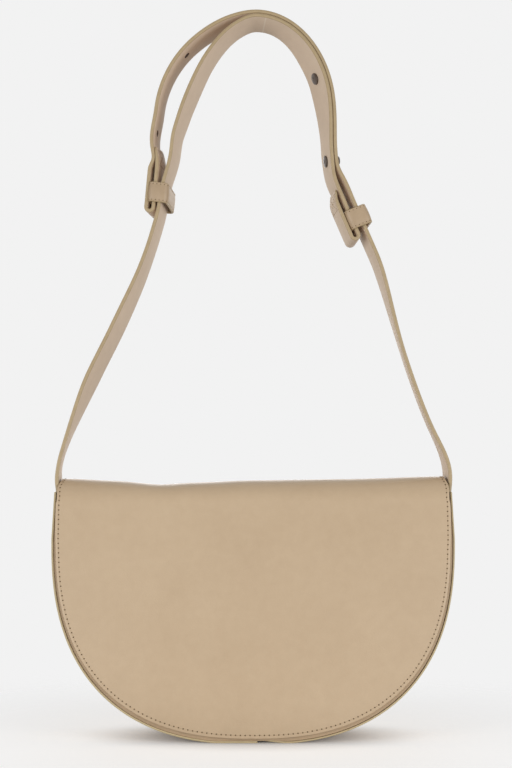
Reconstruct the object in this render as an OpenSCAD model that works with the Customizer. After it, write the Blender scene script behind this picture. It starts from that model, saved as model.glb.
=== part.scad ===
// Saddle handbag: a half-moon body with a U-shaped gusset, a flap that rolls over the top and
// covers the whole front, and a shoulder strap in two halves held by keeper rings and studs.
// Origin at the middle of the base, X to the right, Y to the back, Z up, millimetres.

/* [Body] */
// Width of the half-moon body over its edges
body_w = 263.8; // [245:0.2:285]
// Height at which the body is widest
waist_z = 132.4; // [122:0.2:140]
// How far the round bottom is flattened to make the base
base_drop = 1; // [0.6:0.1:2]
// Depth of the bag at the base, over both panels
base_depth = 66; // [58:0.5:76]
// Height of the mouth, where both panels end
mouth_z = 157.6; // [152:0.2:164]
// How far the gusset's ears stand above the mouth
ear_rise = 5; // [4:0.2:7]
// How much each side draws in from the widest place to the ear
side_tuck = 0.8; // [0:0.1:2]

/* [Walls] */
// Thickness of the panel leather
panel_t = 1.6; // [1.2:0.1:2]
// Thickness of the gusset leather
gusset_t = 1.4; // [1.1:0.1:1.8]
// Thickness of the boards behind the two panels
stiff_t = 1.2; // [0.8:0.1:1.6]
// Thickness of the lining cloth
lining_t = 0.8; // [0.5:0.1:1]
// Thickness of the leather facings at the mouth
facing_t = 1.2; // [0.8:0.1:1.6]
// Height of the leather facings at the mouth
facing_h = 26; // [18:1:34]

/* [Gusset lap] */
// Place of the left half's end at the bottom
lap_x = 2; // [1:0.5:6]
// Length over which the right half runs above the left half
lap_len = 20; // [12:1:28]
// Thickness of the right half where it is skived for the lap
lap_t = 1.2; // [0.8:0.1:1.6]
// Length of the open notch below the lap
notch_len = 12; // [6:0.5:16]
// Length over which the right half steps up into the lap
step_len = 6; // [4:0.5:10]

/* [Flap] */
// How far the body's edge shows beside the flap
flap_margin = 1.9; // [1.2:0.1:4]
// Height of the flap's lowest edge above the floor
flap_low_z = 2.8; // [2:0.2:8]
// How far the top of the flap's roll stands above the mouth
flap_rise = 14.4; // [13.4:0.2:16]
// Thickness of the flap leather
skin_t = 1.4; // [1.1:0.1:1.8]
// Thickness of the flap's lining with its foam
core_t = 1.8; // [1.6:0.1:2.4]
// Thickness of the board inside the flap
flap_board_t = 1; // [0.6:0.1:1.2]
// Margin of the flap around its board
flap_board_margin = 9; // [7:0.5:16]
// Gap between the front panel and the closed flap
flap_gap = 0.5; // [0.4:0.1:1]

/* [Slip pocket] */
// Width of the pocket inside the back
pocket_w = 120; // [90:1:140]
// Height of the pocket's lower edge
pocket_low_z = 52; // [46:1:60]
// How far the pocket's mouth lies below the bag's mouth
pocket_drop = 37.6; // [30:0.2:50]
// Height of the binding along the pocket's mouth
binding_h = 8; // [5:0.5:12]

/* [Magnet snap] */
// Radius of both snap discs
snap_r = 9; // [7:0.5:10]
// Height of the snap's centre
snap_z = 45; // [38:1:70]
// Thickness of the half in the front panel
socket_t = 2.2; // [2:0.1:2.4]
// Radius of the hole in that half
socket_hole_r = 3.5; // [3.4:0.1:4]
// Depth of the hole in that half
socket_hole_d = 1.9; // [1.6:0.1:1.9]
// Radius of the nub that enters the hole
nub_r = 2.6; // [2:0.1:2.6]
// Depth to which the nub enters the hole
nub_d = 1.5; // [0.8:0.1:1.5]
// Thickness of the half in the flap
plug_t = 1; // [0.8:0.1:1.1]

/* [Strap] */
// Width of the strap
strap_w = 25; // [22:0.5:29]
// Room between the strap's edges and the two panels at the ears
strap_margin = 0.33; // [0.3:0.05:1]
// Thickness of the strap
strap_t = 2.5; // [2:0.1:3]
// Height of the strap's arch above the ears, along its lean
strap_rise = 321; // [290:1:350]
// Angle at which the standing strap leans back
strap_lean = 6; // [2:0.5:8]
// Widest angle by which the strap's rear edge turns inward
strap_cone = 23; // [12:1:26]
// Widest gap between the two halves on the left of the arch
arch_gap = 15; // [8:0.5:17]
// Length of the sewn strap end inside the gusset
root_len = 38; // [26:1:48]
// Distance between neighbouring holes along the strap
hole_pitch = 59; // [56:0.5:60]
// Radius of the holes in the strap
hole_r = 2.3; // [2.2:0.1:2.6]

/* [Keepers] */
// Height of a keeper ring along the strap
keeper_h = 13.5; // [10:0.5:14]
// Thickness of a keeper ring
keeper_t = 1.6; // [1.2:0.1:2]
// Free room beside the two straps in the left keeper
left_slack = 2.9; // [2.4:0.1:4]
// Free room beside the two straps in the right keeper
right_slack = 5.3; // [4:0.1:6]
// Travel of a keeper along the strap
keeper_travel = 8; // [6:0.5:8]
// Distance from a keeper's lower edge down to the centre of the fold below it
fold_gap = 0.65; // [0.5:0.05:2]

/* [Studs] */
// Distance from the right keeper up to the first stud
stud_up = 43; // [41:0.5:46]
// Radius of a stud's head
stud_head_r = 3.6; // [3.2:0.1:4]
// Height of a stud's head
stud_head_h = 3.4; // [2.8:0.1:4]
// Radius of a stud's neck
stud_neck_r = 2; // [1.7:0.1:2]
// Radius of a stud's base disc
stud_base_r = 4; // [3.6:0.1:4.5]
// Thickness of a stud's base disc
stud_base_t = 1.2; // [1:0.1:1.5]
// Radius of a stud's screw
screw_r = 1; // [0.8:0.1:1.2]

/* [Hidden] */

// Colours of the leather, its painted edges, cloth, board and metal
leather_c = [0.77, 0.68, 0.57];
lining_c = [0.66, 0.58, 0.48];
board_c = [0.45, 0.42, 0.38];
metal_c = [0.38, 0.34, 0.31];

// Clearances: between moving bodies, round pieces set in holes, keeper and strap, straps, seams
body_clear = 0.4;
fit_clear = 0.1;
keeper_clear = 0.35;
layer_gap = 0.3;
seam_gap = 0.15;
stud_seat = 0.25;
overrun = 2;

// Shape of the half-moon: a flattened ellipse of this power, in this many segments
moon_power = 2.5;
moon_segments = 48;
roll_segments = 26;
fold_segments = 8;
ring_sub = 2;
small_fn = 48;

// The bag's sides: half widths, slope of the panels, reach of the cutting tools
half_w = body_w / 2;
moon_b = waist_z + base_drop;
ear_z = mouth_z + ear_rise;
ear_depth = strap_w + 2 * (strap_margin + panel_t);
slope = atan((base_depth - ear_depth) / 2 / ear_z);
reach = body_w + strap_rise;
ear_half = half_w - side_tuck;
strap_half = ear_half - gusset_t;
board_t = strap_t - lining_t;
inner_inset = gusset_t + strap_t + layer_gap;
lining_in = panel_t + stiff_t;
pocket_in = lining_in + lining_t;
lap_end = lap_x + notch_len;
pocket_top_z = mouth_z - pocket_drop;

// The flap: its thickness, the roll's radius and centre, and the hinge line at the back
flap_t = skin_t + core_t;
flap_out = flap_gap + flap_t;
flap_top_z = mouth_z + flap_rise;
roll_r = (cos(slope) * base_depth / 2 - flap_top_z * sin(slope) + flap_out / 2) / (1 - sin(slope));
roll_z = flap_top_z - roll_r;
roll_y = base_depth / 2 - roll_z * tan(slope) - roll_r / cos(slope);
hinge_z = mouth_z + body_clear;
roll_half = strap_half - strap_t - body_clear;
shoulder_z = hinge_z + 3 * body_clear + skin_t;
shoulder_y = panel_y(mouth_z, 0, -1) + 1.5 * body_clear;
board_top = roll_z - flap_board_margin;

// A value that climbs smoothly from 0 at a to 1 at b
function ramp(v, a, b) = let (u = min(1, max(0, (v - a) / (b - a)))) u * u * (3 - 2 * u);

// Y of the plane that lies inside a panel's outer face by inset, on the front (-1) or back (1)
function panel_y(z, inset, side) = side * (base_depth / 2 - z * tan(slope) - inset / cos(slope));

// Outline points of a half-moon, flat across its top
function moon_points(half, b, top) = let (tuck = side_tuck * (top - waist_z) / (ear_z - waist_z))
    concat(
        [[half - tuck, top]],
        [for (i = [0:moon_segments]) let (a = 180 * i / moon_segments)
            [half * sign(cos(a)) * pow(abs(cos(a)), 2 / moon_power),
             waist_z - b * pow(abs(sin(a)), 2 / moon_power)]],
        [[tuck - half, top]]);

// The half-moon area of the body, drawn in by inset, with its flat base
module moon_area(inset, top) {
    intersection() {
        polygon(moon_points(half_w - inset, moon_b - inset, top));
        translate([-reach, inset]) square([2 * reach, reach]);
    }
}

// The area between two half-moons, from inset near to inset far
module moon_ring(near, far, top) {
    difference() {
        moon_area(near, top);
        moon_area(far, top + overrun);
    }
}

// Draws an area of the front view through the whole depth
module through_depth() {
    rotate([90, 0, 0]) linear_extrude(2 * reach, center = true) children();
}

// Draws an area of the side view across the whole width
module across_width(from_x = -reach, to_x = reach) {
    translate([from_x, 0, 0]) rotate([90, 0, 90]) linear_extrude(to_x - from_x) children();
}

// Side view of a layer of one panel, from inset near to inset far
module panel_layer(side, near, far) {
    across_width() polygon([
        [panel_y(-overrun, near, side), -overrun],
        [panel_y(-overrun, far, side), -overrun],
        [panel_y(ear_z + overrun, far, side), ear_z + overrun],
        [panel_y(ear_z + overrun, near, side), ear_z + overrun]]);
}

// The room between two planes inset from the panels' outer faces, from from_x to to_x
module between_panels(inset, from_x, to_x) {
    across_width(from_x, to_x) polygon([
        for (side = [-1, 1], end = [0, 1])
            let (z = (end == 0) == (side < 0) ? -overrun : ear_z + overrun)
                [panel_y(z, inset, side), z]]);
}

// A level band of the whole model, from low to high
module level(low, high) {
    translate([-reach, -reach, low]) cube([2 * reach, 2 * reach, high - low]);
}

// Places children on the front panel's outer face, with +Z pointing out of the bag
module on_front(z) {
    translate([0, panel_y(z, 0, -1), z]) rotate([90 - slope, 0, 0]) children();
}

// Body: panels, boards, linings and facings
module panel(side) {
    intersection() {
        panel_layer(side, 0, panel_t);
        through_depth() moon_area(gusset_t, mouth_z);
    }
}

module front_panel() {
    color(leather_c) difference() {
        panel(-1);
        snap_hole();
    }
}

module back_panel() {
    color(leather_c) panel(1);
}

module snap_hole() {
    on_front(snap_z) translate([0, 0, -panel_t - stiff_t - fit_clear])
        cylinder(panel_t + stiff_t + 2 * fit_clear, r = snap_r + fit_clear, $fn = small_fn);
}

module inner_layer(side, near, far, low, high) {
    intersection() {
        panel_layer(side, near, far);
        through_depth() moon_area(inner_inset, mouth_z);
        level(low, high);
    }
}

module front_board() {
    color(board_c) difference() {
        inner_layer(-1, panel_t, panel_t + stiff_t, 0, mouth_z);
        snap_hole();
    }
}

module back_board() {
    color(board_c) inner_layer(1, panel_t, panel_t + stiff_t, 0, mouth_z);
}

module front_lining() {
    color(lining_c) inner_layer(-1, lining_in, lining_in + lining_t, 0, mouth_z - facing_h);
}

module back_lining() {
    color(lining_c) inner_layer(1, lining_in, lining_in + lining_t, 0, mouth_z - facing_h);
}

module front_facing() {
    color(leather_c) inner_layer(-1, lining_in, lining_in + facing_t, mouth_z - facing_h, mouth_z);
}

module back_facing() {
    color(leather_c) inner_layer(1, lining_in, lining_in + facing_t, mouth_z - facing_h, mouth_z);
}

// Gusset: two halves of leather lapped at the bottom, their board and their lining. The leather
// goes round both panels' edges, with no inset there, and what lies inside fits between the panels.
module gusset_layer(near, far, inset, from_x, to_x) {
    intersection() {
        through_depth() moon_ring(near, far, ear_z);
        between_panels(inset, from_x, to_x);
    }
}

module gusset_left() {
    color(leather_c) gusset_layer(0, gusset_t, 0, -reach, lap_x);
}

// Cuts such a layer out, past both panels and the ears
module gusset_cut(near, far, from_x, to_x) {
    intersection() {
        through_depth() moon_ring(near, far, ear_z + overrun);
        across_width(from_x, to_x) square(2 * reach, center = true);
    }
}

module gusset_right() {
    color(leather_c) union() {
        gusset_layer(0, gusset_t, 0, lap_end, reach);
        gusset_layer(gusset_t, gusset_t + lap_t, panel_t, lap_x - lap_len, lap_end + step_len);
        gusset_layer(gusset_t - lap_t / 2, gusset_t + lap_t / 2, panel_t, lap_end, lap_end + step_len);
    }
}

module gusset_board() {
    color(board_c) difference() {
        gusset_layer(gusset_t, gusset_t + board_t, panel_t, -reach, reach);
        gusset_cut(gusset_t - fit_clear, gusset_t + lap_t + fit_clear,
            lap_x - lap_len - fit_clear, lap_end + step_len + fit_clear);
        for (side = [-1, 1]) root_band(side, fit_clear);
    }
}

module gusset_lining() {
    color(lining_c) difference() {
        gusset_layer(gusset_t + board_t, gusset_t + strap_t, panel_t, -reach, reach);
        for (side = [-1, 1]) root_band(side, fit_clear);
    }
}

// The band along the gusset in which the strap's sewn end lies, against the inside of its leather
module root_band(side, grow) {
    intersection() {
        gusset_cut(gusset_t - grow, gusset_t + strap_t + grow, side < 0 ? -reach : 0, side < 0 ? 0 : reach);
        translate([-reach, -strap_w / 2 - grow, ear_z - root_len - grow])
            cube([2 * reach, strap_w + 2 * grow, root_len + grow + (grow > 0 ? overrun : 0)]);
    }
}

module strap_end_left() {
    color(leather_c) root_band(-1, 0);
}

module strap_end_right() {
    color(leather_c) root_band(1, 0);
}

// Slip pocket on the back lining, with its bound mouth
module pocket_layer(near, far, low, high) {
    intersection() {
        panel_layer(1, near, far);
        translate([-pocket_w / 2, -reach, low]) cube([pocket_w, 2 * reach, high - low]);
    }
}

module slip_pocket() {
    color(lining_c) pocket_layer(pocket_in, pocket_in + lining_t, pocket_low_z, pocket_top_z);
}

module pocket_binding() {
    color(leather_c) pocket_layer(pocket_in + lining_t, pocket_in + 2 * lining_t,
        pocket_top_z - binding_h, pocket_top_z);
}

// Magnet snap: the half with the hole sits flush in the front panel, the nub is on the flap
module snap_socket() {
    color(metal_c) on_front(snap_z) difference() {
        translate([0, 0, -socket_t]) cylinder(socket_t, r = snap_r, $fn = small_fn);
        translate([0, 0, -socket_hole_d])
            cylinder(socket_hole_d + overrun, r = socket_hole_r, $fn = small_fn);
    }
}

module snap_socket_washer() {
    color(metal_c) on_front(snap_z) translate([0, 0, -lining_in])
        cylinder(lining_in - socket_t, r = snap_r, $fn = small_fn);
}

module snap_plug() {
    color(metal_c) on_front(snap_z) union() {
        translate([0, 0, flap_gap]) cylinder(plug_t, r = snap_r, $fn = small_fn);
        translate([0, 0, -nub_d]) cylinder(nub_d + flap_gap + plug_t / 2, r = nub_r, $fn = small_fn);
    }
}

module snap_plug_washer() {
    color(metal_c) on_front(snap_z) translate([0, 0, flap_gap + plug_t])
        cylinder(core_t - plug_t - fit_clear, r = snap_r, $fn = small_fn);
}

// Flap: side view of a layer, from inset near to inset far below its outer face
function roll_arc(inset) = [for (i = [0:roll_segments])
    let (a = 180 - slope - (180 - slope - roll_end(inset)) * i / roll_segments)
        [roll_y + (roll_r - inset) * cos(a), roll_z + (roll_r - inset) * sin(a)]];

// Angle at which a layer of the roll meets the hinge line at the back
function roll_end(inset) = asin((hinge_z + body_clear - roll_z) / (roll_r - inset));

module flap_section(near, far) {
    across_width() polygon(concat(
        [[panel_y(0, near - flap_out, -1), 0]],
        roll_arc(near),
        [for (i = [roll_segments:-1:0]) roll_arc(far)[i]],
        [[panel_y(0, far - flap_out, -1), 0]]));
}

// Front view of the flap, drawn in by inset, with shoulders that clear the strap
module flap_area(inset) {
    flap_half = half_w - flap_margin - inset;
    flap_b = waist_z - flap_low_z - inset;
    polygon(concat(
        [[roll_half, flap_top_z + overrun], [roll_half, shoulder_z]],
        [for (p = moon_points(flap_half, flap_b, shoulder_z - skin_t - core_t)) p],
        [[-roll_half, shoulder_z], [-roll_half, flap_top_z + overrun]]));
}

// The roll is narrower than the flap's face, so that it passes between the two ears
module roll_side_cut() {
    for (side = [-1, 1])
        translate([side < 0 ? -reach : roll_half, shoulder_y, 0])
            cube([reach - (side < 0 ? roll_half : 0), reach, reach]);
}

module flap_layer(near, far) {
    difference() {
        intersection() {
            flap_section(near, far);
            through_depth() flap_area(0);
        }
        roll_side_cut();
    }
}

module flap_skin() {
    color(leather_c) flap_layer(0, skin_t);
}

module board_block(near, margin) {
    intersection() {
        across_width() polygon([
            [panel_y(0, near - flap_out, -1), 0],
            [panel_y(0, skin_t + flap_board_t - flap_out, -1), 0],
            [panel_y(board_top, skin_t + flap_board_t - flap_out, -1), board_top],
            [panel_y(board_top, near - flap_out, -1), board_top]]);
        through_depth() flap_area(margin);
    }
}

module plug_hole() {
    on_front(snap_z) translate([0, 0, flap_gap - fit_clear])
        cylinder(core_t + 2 * fit_clear, r = snap_r + fit_clear, $fn = small_fn);
}

module flap_board() {
    color(board_c) difference() {
        board_block(skin_t + fit_clear, flap_board_margin);
        plug_hole();
    }
}

module flap_lining() {
    color(lining_c) difference() {
        flap_layer(skin_t + fit_clear, flap_t);
        board_block(skin_t, flap_board_margin - fit_clear);
        plug_hole();
    }
}

// Route of the strap: the line on which its two halves touch, as seen in the plane of its arch.
// X is a share of the strap's half span at that side, and the height is a share of the rise.
left_leg_shares = [[-1, -0.015], [-1, 0], [-1.007, 0.03], [-1.006, 0.06], [-0.983, 0.094],
    [-0.942, 0.142], [-0.857, 0.235], [-0.757, 0.315], [-0.666, 0.395], [-0.588, 0.462]];
arch_shares = [[-0.502, 0.745], [-0.496, 0.784], [-0.481, 0.822], [-0.452, 0.859], [-0.408, 0.895],
    [-0.345, 0.929], [-0.264, 0.958], [-0.174, 0.981], [-0.082, 0.995], [0.01, 1.001],
    [0.095, 0.995], [0.176, 0.977], [0.243, 0.949], [0.292, 0.918], [0.335, 0.882],
    [0.36, 0.843], [0.376, 0.803], [0.386, 0.758], [0.389, 0.712], [0.4, 0.672]];
right_leg_shares = [[0.634, 0.474], [0.67, 0.434], [0.7, 0.393], [0.755, 0.31], [0.821, 0.228],
    [0.893, 0.15], [0.948, 0.106], [0.988, 0.073], [1.006, 0.045], [1.002, 0.02], [1, 0], [1, -0.015]];

// Middle of each keeper on that route, and the angle of the straight run it slides on
left_keeper_share = [-0.507, 0.627];
right_keeper_share = [0.534, 0.567];
left_keeper_angle = 8;
right_keeper_angle = 155.7;

// Straight run through a keeper: five points, a travel share above its resting place
run_step = keeper_h / 2 + keeper_travel / 2 + 2 * keeper_clear;
right_half = strap_half - strap_t - layer_gap;

function scaled(shares, half) = [for (p = shares) [p.x * half, p.y * strap_rise]];

function straight_run(share, angle, up) = let (dir = [sin(angle), cos(angle)])
    [for (k = [-2:2]) [share.x * strap_half, share.y * strap_rise]
        + dir * (k * run_step + up * keeper_travel / 2)];

route_points = concat(
    scaled(left_leg_shares, strap_half),
    straight_run(left_keeper_share, left_keeper_angle, 1),
    scaled(arch_shares, strap_half),
    straight_run(right_keeper_share, right_keeper_angle, -1),
    scaled(right_leg_shares, right_half));

left_run_at = len(left_leg_shares) + 2;
right_run_at = left_run_at + len(arch_shares) + 5;

// Smooth curve near the route points, each span shaped by this many of them, and its places
spline_points = 4;
route_ends = concat([2 * route_points[0] - route_points[1]], route_points,
    [2 * route_points[len(route_points) - 1] - route_points[len(route_points) - 2]]);

function blend_point(i, t) = (route_ends[i] * pow(1 - t, 3)
    + route_ends[i + 1] * (3 * pow(t, 3) - 6 * t * t + 4)
    + route_ends[i + 2] * (-3 * pow(t, 3) + 3 * t * t + 3 * t + 1)
    + route_ends[i + 3] * pow(t, 3)) / 6;

last_span = len(route_ends) - spline_points;
route = concat([for (i = [0:last_span], k = [0:ring_sub - 1]) blend_point(i, k / ring_sub)],
    [blend_point(last_span, 1)]);
last = len(route) - 1;
along = [for (i = 0, s = 0; i <= last; s = s + (i < last ? norm(route[i + 1] - route[i]) : 0), i = i + 1) s];
tangent = [for (i = [0:last]) let (v = route[min(last, i + 1)] - route[max(0, i - 1)]) v / norm(v)];

// Distance along the route of each keeper's resting place
left_at = along[left_run_at * ring_sub] - keeper_travel / 2;
right_at = along[right_run_at * ring_sub] + keeper_travel / 2;

function index_at(s, i = 0) = i >= last - 1 || along[i + 1] >= s ? i : index_at(s, i + 1);

// Changes of the cone angle: where each begins and ends along the route, and its part of the widest
cone_shares = [[0.038, 0.12, 0.58], [0.165, 0.25, -0.17], [0.3, 0.37, 0.09], [0.51, 0.57, 0.5],
    [0.61, 0.656, -0.46], [0.66, 0.71, -0.13], [0.768, 0.865, -0.41]];

function cone(s) = strap_cone * ([for (c = cone_shares) c[2]]
    * [for (c = cone_shares) ramp(s / along[last], c[0], c[1])]);

// Place of a point of the route: its position, its direction and its cone angle
function spot(s) = let (
    i = index_at(s),
    f = (s - along[i]) / (along[i + 1] - along[i]),
    v = tangent[i] * (1 - f) + tangent[i + 1] * f)
    [route[i] * (1 - f) + route[i + 1] * f, v / norm(v), cone(s)];

// Distance of each half's middle from the route, inward of the arch
wrap_t = keeper_t + 2 * keeper_clear;
wrap_hold = keeper_h / 2 + keeper_travel + 2 * keeper_clear;
wrap_end = wrap_hold + keeper_travel;
left_tail = 32;
right_tail = 23;
gap_start = 2;
gap_full = 60;
gap_hold = 104;
gap_end = 162;
slack_end = stud_up - stud_base_r;

function left_half_q(s) = let (up_l = s - left_at, up_r = right_at - s)
    strap_t / 2
    + arch_gap * ramp(up_l, gap_start, gap_full) * (1 - ramp(up_l, gap_hold, gap_end))
    + right_slack * (1 - ramp(up_r, wrap_hold, slack_end));

function right_half_q(s) = let (up_l = s - left_at)
    -layer_gap - strap_t / 2
    - wrap_t * (1 - ramp(up_l, wrap_hold, wrap_end))
    - (strap_t + seam_gap) * (1 - ramp(up_l, left_tail + seam_gap, left_tail + strap_w));

function left_tail_q(s) = left_half_q(s) + strap_t + seam_gap
    + wrap_t * (1 - ramp(right_at - s, wrap_hold, wrap_end));

function right_tail_q(s) = -layer_gap - strap_t / 2;

// A strap section: its middle, the direction through its thickness and the one across its width
function across(p) = [p[1].y * sin(p[2]), cos(p[2]), -p[1].x * sin(p[2])];
function inward(p) = [p[1].y * cos(p[2]), -sin(p[2]), -p[1].x * cos(p[2])];
function section(s, q, turn) = let (p = spot(s))
    [[p[0].x, 0, p[0].y] + inward(p) * q, turn * inward(p), across(p)];

// The half circle of a fold below a keeper, from the strap to its tail
function fold(s, q, to_q, way) = let (p = spot(s), r = (to_q - q) / 2,
    run = way * [p[1].x, 0, p[1].y], mid = [p[0].x, 0, p[0].y] + inward(p) * (q + r))
    [for (i = [1:fold_segments - 1]) let (a = 180 * i / fold_segments,
        m = inward(p) * cos(a) - run * sin(a)) [mid - m * r, m, across(p)]];

left_fold_at = right_at + keeper_h / 2 + fold_gap;
right_fold_at = left_at - keeper_h / 2 - fold_gap;

left_sections = concat(
    [for (s = along) if (s < left_fold_at) section(s, left_half_q(s), 1)],
    [section(left_fold_at, left_half_q(left_fold_at), 1)],
    fold(left_fold_at, left_half_q(left_fold_at), left_tail_q(left_fold_at), 1),
    [section(left_fold_at, left_tail_q(left_fold_at), -1)],
    [for (i = [last:-1:0]) if (along[i] < left_fold_at && along[i] > right_at - right_tail)
        section(along[i], left_tail_q(along[i]), -1)],
    [section(right_at - right_tail, left_tail_q(right_at - right_tail), -1)]);

right_sections = concat(
    [for (i = [last:-1:0]) if (along[i] > right_fold_at) section(along[i], right_half_q(along[i]), 1)],
    [section(right_fold_at, right_half_q(right_fold_at), 1)],
    fold(right_fold_at, right_half_q(right_fold_at), right_tail_q(right_fold_at), -1),
    [section(right_fold_at, right_tail_q(right_fold_at), -1)],
    [for (s = along) if (s > right_fold_at && s < left_at + left_tail) section(s, right_tail_q(s), -1)],
    [section(left_at + left_tail, right_tail_q(left_at + left_tail), -1)]);

// One strap half as a band through its sections
module band(sections, way) {
    count = len(sections);
    corners = [for (s = sections, c = [[1, -1], [1, 1], [-1, 1], [-1, -1]])
        s[0] + s[1] * c.x * strap_t / 2 + s[2] * c.y * strap_w / 2];
    sides = [for (j = [0:count - 2], k = [0:3]) let (
        a = 4 * j + k, b = 4 * j + (k + 1) % 4, c = b + 4, d = a + 4)
        each [way > 0 ? [a, d, b] : [a, b, d], way > 0 ? [b, d, c] : [b, c, d]]];
    ends = [[0, 1, 2, 3], [for (k = [3:-1:0]) 4 * (count - 1) + k]];
    polyhedron(corners, concat(sides, [for (e = ends) way > 0 ? e : [for (k = [3:-1:0]) e[k]]]));
}

// Places the arch above the ears, leaning back
module arch_frame() {
    translate([0, 0, ear_z]) rotate([-strap_lean, 0, 0]) children();
}

// Places children on the route: X points into the arch, Y to the back, Z along the strap
module on_route(s) {
    p = spot(s);
    arch_frame() translate([p[0].x, 0, p[0].y]) rotate([0, atan2(p[1].x, p[1].y), 0])
        rotate([0, 0, -p[2]]) children();
}

module strap_holes(from_k, to_k) {
    for (k = [from_k:to_k]) on_route(right_at - stud_up - k * hole_pitch)
        rotate([0, 90, 0]) cylinder(2 * (arch_gap + strap_t), r = hole_r, center = true, $fn = small_fn);
}

module strap_left() {
    color(leather_c) difference() {
        arch_frame() band(left_sections, 1);
        level(-reach, ear_z + body_clear);
        strap_holes(0, 1);
    }
}

module strap_right() {
    color(leather_c) difference() {
        arch_frame() band(right_sections, -1);
        level(-reach, ear_z + body_clear);
        strap_holes(0, 4);
    }
}

// Studs: a head with a bored neck outside, and a screw with a flat disc inside the arch
module at_studs() {
    for (k = [0:1]) let (s = right_at - stud_up - k * hole_pitch)
        on_route(s) translate([right_half_q(s) - strap_t / 2 - stud_seat, 0, 0]) rotate([0, 90, 0])
            children();
}

function stud_grip(k) = let (s = right_at - stud_up - k * hole_pitch)
    left_half_q(s) - right_half_q(s) + strap_t + 2 * stud_seat;

module strap_studs() {
    color(metal_c) at_studs() difference() {
        rotate_extrude($fn = small_fn) polygon([
            [0, -stud_head_h], [stud_head_r * cos(45), -stud_head_h + stud_head_r / 6],
            [stud_head_r, -stud_head_h / 2], [stud_head_r * cos(45), -stud_head_h / 6],
            [stud_neck_r, 0], [stud_neck_r, strap_t + stud_seat], [0, strap_t + stud_seat]]);
        translate([0, 0, stud_seat]) cylinder(strap_t + overrun, r = screw_r + fit_clear, $fn = small_fn);
    }
}

module stud_screws() {
    color(metal_c) for (k = [0:1]) let (s = right_at - stud_up - k * hole_pitch)
        on_route(s) translate([left_half_q(s) + strap_t / 2 + stud_seat, 0, 0]) rotate([0, 90, 0])
            union() {
                cylinder(stud_base_t, r = stud_base_r, $fn = small_fn);
                translate([0, 0, 2 * stud_seat - stud_grip(k) + stud_seat / 2])
                    cylinder(stud_grip(k) - 2 * stud_seat + stud_base_t / 2, r = screw_r, $fn = small_fn);
            }
}

// Keeper ring: an upright loop round both straps, with rounded corners
module rounded_area(from_x, to_x, half_y, r) {
    translate([from_x + r, -half_y]) square([to_x - from_x - 2 * r, 2 * half_y]);
    translate([from_x, r - half_y]) square([to_x - from_x, 2 * (half_y - r)]);
    for (x = [from_x + r, to_x - r], y = [r - half_y, half_y - r])
        translate([x, y]) circle(r, $fn = small_fn);
}

module keeper_ring(slack) {
    low_x = -layer_gap - strap_t - keeper_clear;
    high_x = strap_t + slack + keeper_clear;
    half_y = strap_w / 2 + keeper_clear;
    linear_extrude(keeper_h, center = true) difference() {
        rounded_area(low_x - keeper_t, high_x + keeper_t, half_y + keeper_t, keeper_t);
        translate([low_x, -half_y]) square([high_x - low_x, 2 * half_y]);
    }
}

module keeper_left() {
    color(leather_c) on_route(left_at) keeper_ring(left_slack);
}

module keeper_right() {
    color(leather_c) on_route(right_at) keeper_ring(right_slack);
}

front_panel();
back_panel();
gusset_left();
gusset_right();
gusset_board();
front_board();
back_board();
front_lining();
back_lining();
gusset_lining();
front_facing();
back_facing();
slip_pocket();
pocket_binding();
snap_socket();
snap_socket_washer();
strap_end_left();
strap_end_right();
flap_skin();
flap_board();
flap_lining();
snap_plug();
snap_plug_washer();
strap_left();
strap_right();
strap_studs();
stud_screws();
keeper_left();
keeper_right();
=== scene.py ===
import bisect
import math

import bpy
from mathutils import Matrix, Vector


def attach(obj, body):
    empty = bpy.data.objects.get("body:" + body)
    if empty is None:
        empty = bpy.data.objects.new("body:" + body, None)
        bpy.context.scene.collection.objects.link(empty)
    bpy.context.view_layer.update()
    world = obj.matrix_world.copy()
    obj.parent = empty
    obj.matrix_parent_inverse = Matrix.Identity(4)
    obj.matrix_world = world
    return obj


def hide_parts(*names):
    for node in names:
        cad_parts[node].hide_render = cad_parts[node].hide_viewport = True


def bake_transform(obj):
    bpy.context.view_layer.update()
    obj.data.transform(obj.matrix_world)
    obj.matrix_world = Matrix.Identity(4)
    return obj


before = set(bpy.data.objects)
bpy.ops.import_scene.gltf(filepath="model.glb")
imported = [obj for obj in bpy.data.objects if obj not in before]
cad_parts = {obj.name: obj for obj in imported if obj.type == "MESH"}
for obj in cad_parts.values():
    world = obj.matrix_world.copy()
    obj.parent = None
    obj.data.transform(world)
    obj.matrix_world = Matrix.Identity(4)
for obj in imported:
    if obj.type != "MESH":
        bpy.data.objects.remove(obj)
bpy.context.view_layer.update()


# Boards: pressed fibre sheets, glued behind the leather, that hold the bag's shape. The packed
# solids are right, so they only get their finish.
class Value:
    """A shader value. Arithmetic on it adds the Math nodes that work it out."""

    def __init__(self, finish, socket):
        self.finish, self.socket = finish, socket

    def math(self, operation, *others):
        return self.finish.node("ShaderNodeMath", {"operation": operation}, (self, *others))

    def __add__(self, other):
        return self.math("ADD", other)

    def __sub__(self, other):
        return self.math("SUBTRACT", other)

    def __rsub__(self, other):
        return self.finish.node("ShaderNodeMath", {"operation": "SUBTRACT"}, (other, self))

    def __mul__(self, other):
        return self.math("MULTIPLY", other)

    __radd__, __rmul__ = __add__, __mul__


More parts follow.
